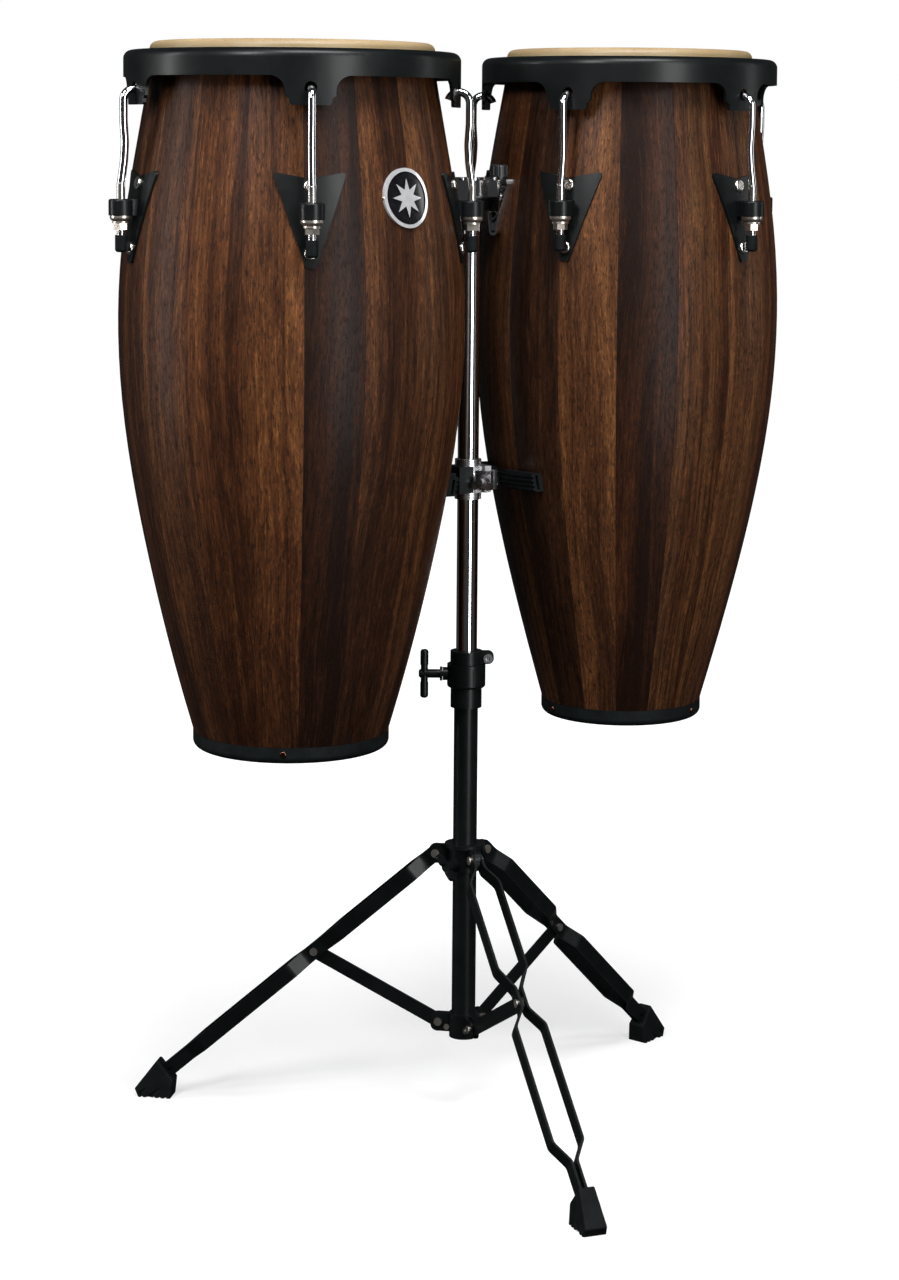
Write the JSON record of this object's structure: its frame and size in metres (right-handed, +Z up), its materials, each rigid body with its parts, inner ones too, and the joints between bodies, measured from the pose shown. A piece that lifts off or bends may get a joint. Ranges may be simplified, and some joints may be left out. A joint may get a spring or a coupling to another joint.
{
  "type": "pair of conga drums on a stand",
  "caption": "Two stave-built barrel drums with tuned skin heads, hung side by side from a folding, height-adjustable double-braced tripod stand.",
  "frame": {"origin": "centre of the footprint box on the floor", "axes": "+Z up; the player faces +Y, with the larger drum on the left (-X)"},
  "size_m": [0.6902, 0.6268, 1.1371],
  "materials": {
    "walnut_staves": "satin lacquer over dark walnut-brown staves",
    "rawhide": "matte natural skin",
    "black_powder_coat": "satin black powder coat",
    "chrome": "polished",
    "nickel": "bright nickel plate",
    "hoop_steel": "plain steel",
    "badge_metal": "bright relief on a black ground",
    "black_rubber": "matte moulded rubber",
    "black_plastic": "moulded plastic"
  },
  "bodies": {
    "stand_base": {"lower_tube": "black_powder_coat", "height_clamp": "black_powder_coat", "tube_bushing": "black_plastic", "base_collar": "black_powder_coat", "base_rivets": "nickel"},
    "height_handle": {"height_handle": "black_powder_coat"},
    "mast": {"upper_pole": "chrome", "memory_lock": "black_powder_coat", "memory_lock_bolt": "chrome", "mount_head": "chrome"},
    "knee_unit": {"knee_clamp": "chrome", "knee_cradles": "black_powder_coat", "knee_pads": "black_rubber"},
    "knee_wing": {"knee_wing_bolt": "chrome"},
    "sliding_collar": {"tripod_collar": "black_powder_coat"},
    "collar_wing": {"tripod_wing_screw": "black_powder_coat"},
    "quinto_knob": {"quinto_lock_knob": "black_plastic"},
    "leg_front": {"leg_front": "black_powder_coat", "leg_rivets_front": "nickel", "foot_front": "black_rubber"},
    "brace_front": {"brace_front": "black_powder_coat"},
    "leg_right": {"leg_right": "black_powder_coat", "leg_rivets_right": "nickel", "foot_right": "black_rubber"},
    "brace_right": {"brace_right": "black_powder_coat"},
    "leg_left": {"leg_left": "black_powder_coat", "leg_rivets_left": "nickel", "foot_left": "black_rubber"},
    "brace_left": {"brace_left": "black_powder_coat"},
    "conga_drum": {"conga_shell": "walnut_staves", "conga_base_band": "black_rubber", "conga_head": "rawhide", "conga_lug_plates": "black_powder_coat", "conga_shell_fasteners": "nickel", "conga_bracket": "chrome", "conga_badge": "badge_metal"},
    "conga_tension": {"conga_rim": "black_powder_coat", "conga_flesh_hoop": "hoop_steel", "conga_hooks": "chrome", "conga_hook_tips": "black_rubber"},
    "conga_nut_1": {"conga_nut_1": "nickel"},
    "conga_nut_2": {"conga_nut_2": "nickel"},
    "conga_nut_3": {"conga_nut_3": "nickel"},
    "conga_nut_4": {"conga_nut_4": "nickel"},
    "conga_nut_5": {"conga_nut_5": "nickel"},
    "quinto_drum": {"quinto_shell": "walnut_staves", "quinto_base_band": "black_rubber", "quinto_head": "rawhide", "quinto_lug_plates": "black_powder_coat", "quinto_shell_fasteners": "nickel", "quinto_bracket": "chrome"},
    "quinto_tension": {"quinto_rim": "black_powder_coat", "quinto_flesh_hoop": "hoop_steel", "quinto_hooks": "chrome", "quinto_hook_tips": "black_rubber"},
    "quinto_nut_1": {"quinto_nut_1": "nickel"},
    "quinto_nut_2": {"quinto_nut_2": "nickel"},
    "quinto_nut_3": {"quinto_nut_3": "nickel"},
    "quinto_nut_4": {"quinto_nut_4": "nickel"},
    "quinto_nut_5": {"quinto_nut_5": "nickel"}
  },
  "joints": [
    {"name": "mast_height", "type": "slide", "parent": "stand_base", "child": "mast", "axis": [0, 0, 1], "range_m": [0, 0.17]},
    {"name": "height_handle_turn", "type": "hinge", "parent": "stand_base", "child": "height_handle", "pos_m": [-0.01752, 0.02734, 0.4795], "axis": [1, 0, 0], "range_deg": [-360, 360]},
    {"name": "knee_height", "type": "slide", "parent": "mast", "child": "knee_unit", "axis": [0, 0, 1], "range_m": [-0.06, 0]},
    {"name": "knee_wing_turn", "type": "hinge", "parent": "knee_unit", "child": "knee_wing", "pos_m": [0.03378, 0.01741, 0.6875], "axis": [0.4226, 0.9063, 0], "range_deg": [-360, 360]},
    {"name": "tripod_fold", "type": "slide", "parent": "stand_base", "child": "sliding_collar", "axis": [0, 0, 1], "range_m": [0, 0.14]},
    {"name": "collar_wing_turn", "type": "hinge", "parent": "sliding_collar", "child": "collar_wing", "pos_m": [-0.00458, 0.00642, 0.2765], "axis": [-0.632, -0.7749, 0], "range_deg": [-360, 360]},
    {"name": "leg_front_swing", "type": "hinge", "parent": "sliding_collar", "child": "leg_front", "pos_m": [0.02349, -0.00164, 0.2855], "axis": [0.9348, 0.3551, 0], "range_deg": [0, 41.78]},
    {"name": "brace_front_swing", "type": "hinge", "parent": "stand_base", "child": "brace_front", "pos_m": [0.02207, 0.0021, 0.1015], "axis": [-0.9348, -0.3551, 0], "range_deg": [0, 53.36]},
    {"name": "leg_right_swing", "type": "hinge", "parent": "sliding_collar", "child": "leg_right", "pos_m": [0.03207, 0.05136, 0.2855], "axis": [-0.7749, 0.632, 0], "range_deg": [0, 41.78]},
    {"name": "brace_right_swing", "type": "hinge", "parent": "stand_base", "child": "brace_right", "pos_m": [0.02954, 0.04826, 0.1015], "axis": [0.7749, -0.632, 0], "range_deg": [0, 53.36]},
    {"name": "leg_left_swing", "type": "hinge", "parent": "sliding_collar", "child": "leg_left", "pos_m": [-0.01812, 0.0323, 0.2855], "axis": [-0.1599, -0.9871, 0], "range_deg": [0, 41.78]},
    {"name": "brace_left_swing", "type": "hinge", "parent": "stand_base", "child": "brace_left", "pos_m": [-0.01417, 0.03166, 0.1015], "axis": [0.1599, 0.9871, 0], "range_deg": [0, 53.36]},
    {"name": "conga_lift", "type": "slide", "parent": "mast", "child": "conga_drum", "axis": [0, 0, 1], "range_m": [0, 0.05]},
    {"name": "conga_tuning", "type": "slide", "parent": "conga_drum", "child": "conga_tension", "axis": [0, 0, -1], "range_m": [-0.002, 0.003], "deforming": ["conga_head"]},
    {"name": "conga_nut_1_turn", "type": "hinge", "parent": "conga_drum", "child": "conga_nut_1", "pos_m": [-0.08479, 0.09818, 0.9585], "axis": [0, 0, 1], "range_deg": [-511.14, 766.46]},
    {"name": "conga_nut_2_turn", "type": "hinge", "parent": "conga_drum", "child": "conga_nut_2", "pos_m": [-0.2971, 0.06341, 0.9585], "axis": [0, 0, 1], "range_deg": [-511.14, 766.46]},
    {"name": "conga_nut_3_turn", "type": "hinge", "parent": "conga_drum", "child": "conga_nut_3", "pos_m": [-0.32964, -0.14924, 0.9585], "axis": [0, 0, 1], "range_deg": [-511.14, 766.46]},
    {"name": "conga_nut_4_turn", "type": "hinge", "parent": "conga_drum", "child": "conga_nut_4", "pos_m": [-0.13745, -0.2459, 0.9585], "axis": [0, 0, 1], "range_deg": [-511.14, 766.46]},
    {"name": "conga_nut_5_turn", "type": "hinge", "parent": "conga_drum", "child": "conga_nut_5", "pos_m": [0.01387, -0.09299, 0.9585], "axis": [0, 0, 1], "range_deg": [-511.14, 766.46]},
    {"name": "quinto_lift", "type": "slide", "parent": "mast", "child": "quinto_drum", "axis": [0, 0, 1], "range_m": [0, 0.05]},
    {"name": "quinto_tuning", "type": "slide", "parent": "quinto_drum", "child": "quinto_tension", "axis": [0, 0, -1], "range_m": [-0.002, 0.003], "deforming": ["quinto_head"]},
    {"name": "quinto_nut_1_turn", "type": "hinge", "parent": "quinto_drum", "child": "quinto_nut_1", "pos_m": [0.10413, -0.03847, 0.9585], "axis": [0, 0, 1], "range_deg": [-511.14, 766.46]},
    {"name": "quinto_nut_2_turn", "type": "hinge", "parent": "quinto_drum", "child": "quinto_nut_2", "pos_m": [0.30251, -0.00598, 0.9585], "axis": [0, 0, 1], "range_deg": [-511.14, 766.46]},
    {"name": "quinto_nut_3_turn", "type": "hinge", "parent": "quinto_drum", "child": "quinto_nut_3", "pos_m": [0.33292, 0.19273, 0.9585], "axis": [0, 0, 1], "range_deg": [-511.14, 766.46]},
    {"name": "quinto_nut_4_turn", "type": "hinge", "parent": "quinto_drum", "child": "quinto_nut_4", "pos_m": [0.15333, 0.28305, 0.9585], "axis": [0, 0, 1], "range_deg": [-511.14, 766.46]},
    {"name": "quinto_nut_5_turn", "type": "hinge", "parent": "quinto_drum", "child": "quinto_nut_5", "pos_m": [0.01193, 0.14017, 0.9585], "axis": [0, 0, 1], "range_deg": [-511.14, 766.46]},
    {"name": "quinto_knob_turn", "type": "hinge", "parent": "quinto_drum", "child": "quinto_knob", "pos_m": [0.04236, 0.03376, 1.0035], "axis": [0, 0, 1], "range_deg": [-360, 360]}
  ],
  "couplings": [
    {"joint": "leg_front_swing", "follows": "tripod_fold", "rad_per_m": 5.2077},
    {"joint": "brace_front_swing", "follows": "tripod_fold", "rad_per_m": 6.6504},
    {"joint": "leg_right_swing", "follows": "tripod_fold", "rad_per_m": 5.2077},
    {"joint": "brace_right_swing", "follows": "tripod_fold", "rad_per_m": 6.6504},
    {"joint": "leg_left_swing", "follows": "tripod_fold", "rad_per_m": 5.2077},
    {"joint": "brace_left_swing", "follows": "tripod_fold", "rad_per_m": 6.6504},
    {"joint": "conga_nut_1_turn", "follows": "conga_tuning", "rad_per_m": 4456.2},
    {"joint": "conga_nut_2_turn", "follows": "conga_tuning", "rad_per_m": 4456.2},
    {"joint": "conga_nut_3_turn", "follows": "conga_tuning", "rad_per_m": 4456.2},
    {"joint": "conga_nut_4_turn", "follows": "conga_tuning", "rad_per_m": 4456.2},
    {"joint": "conga_nut_5_turn", "follows": "conga_tuning", "rad_per_m": 4456.2},
    {"joint": "quinto_nut_1_turn", "follows": "quinto_tuning", "rad_per_m": 4456.2},
    {"joint": "quinto_nut_2_turn", "follows": "quinto_tuning", "rad_per_m": 4456.2},
    {"joint": "quinto_nut_3_turn", "follows": "quinto_tuning", "rad_per_m": 4456.2},
    {"joint": "quinto_nut_4_turn", "follows": "quinto_tuning", "rad_per_m": 4456.2},
    {"joint": "quinto_nut_5_turn", "follows": "quinto_tuning", "rad_per_m": 4456.2}
  ]
}
